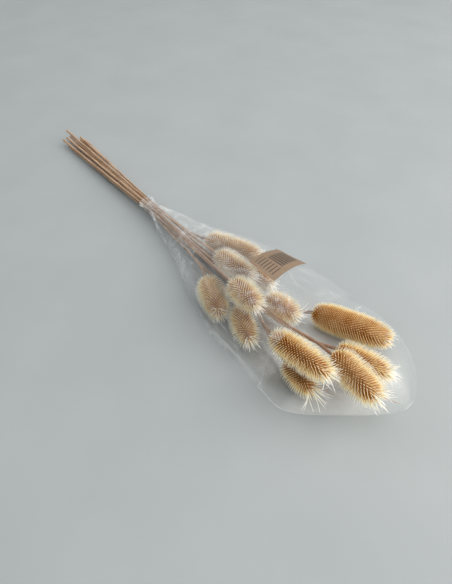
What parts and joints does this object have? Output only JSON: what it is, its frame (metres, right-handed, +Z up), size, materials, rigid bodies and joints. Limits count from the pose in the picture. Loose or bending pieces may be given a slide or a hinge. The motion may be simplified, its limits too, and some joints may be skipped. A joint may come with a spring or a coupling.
{
  "type": "dried teasel bunch in a clear sleeve",
  "caption": "Lying bunch of dried spiny teasel heads on cut stems, gathered in an open clear film sleeve with a plain paper label.",
  "frame": {"origin": "bottom centre of the bunch's box, on the surface that it lies on", "axes": "+X along the bunch from the cut stem ends to the head tips, +Z up"},
  "size_m": [0.6622, 0.1656, 0.0722],
  "materials": {
    "pale_teasel": "matt, dry and spiny, cream at the spine tips",
    "golden_teasel": "matt, dry and spiny, golden brown with cream tips",
    "dry_stem": "matt, dry, ribbed along its length",
    "clear_film": "clear glossy film, softly creased",
    "clear_tape": "clear glossy tape",
    "kraft_label": "matt brown paper, bare"
  },
  "bodies": {
    "root": {"teasel_head_01": "pale_teasel", "teasel_head_02": "pale_teasel", "teasel_head_03": "golden_teasel", "teasel_head_04": "pale_teasel", "teasel_head_05": "golden_teasel", "teasel_head_06": "pale_teasel", "teasel_head_07": "pale_teasel", "teasel_head_08": "golden_teasel", "teasel_head_09": "golden_teasel", "teasel_head_10": "golden_teasel", "teasel_head_11": "golden_teasel", "teasel_head_12": "golden_teasel", "stem_01": "dry_stem", "stem_02": "dry_stem", "stem_03": "dry_stem", "stem_04": "dry_stem", "stem_05": "dry_stem", "stem_06": "dry_stem", "stem_07": "dry_stem", "stem_08": "dry_stem", "stem_09": "dry_stem", "stem_10": "dry_stem", "stem_11": "dry_stem", "stem_12": "dry_stem", "film_sleeve": "clear_film", "neck_tape": "clear_tape", "paper_label": "kraft_label"}
  },
  "joints": []
}
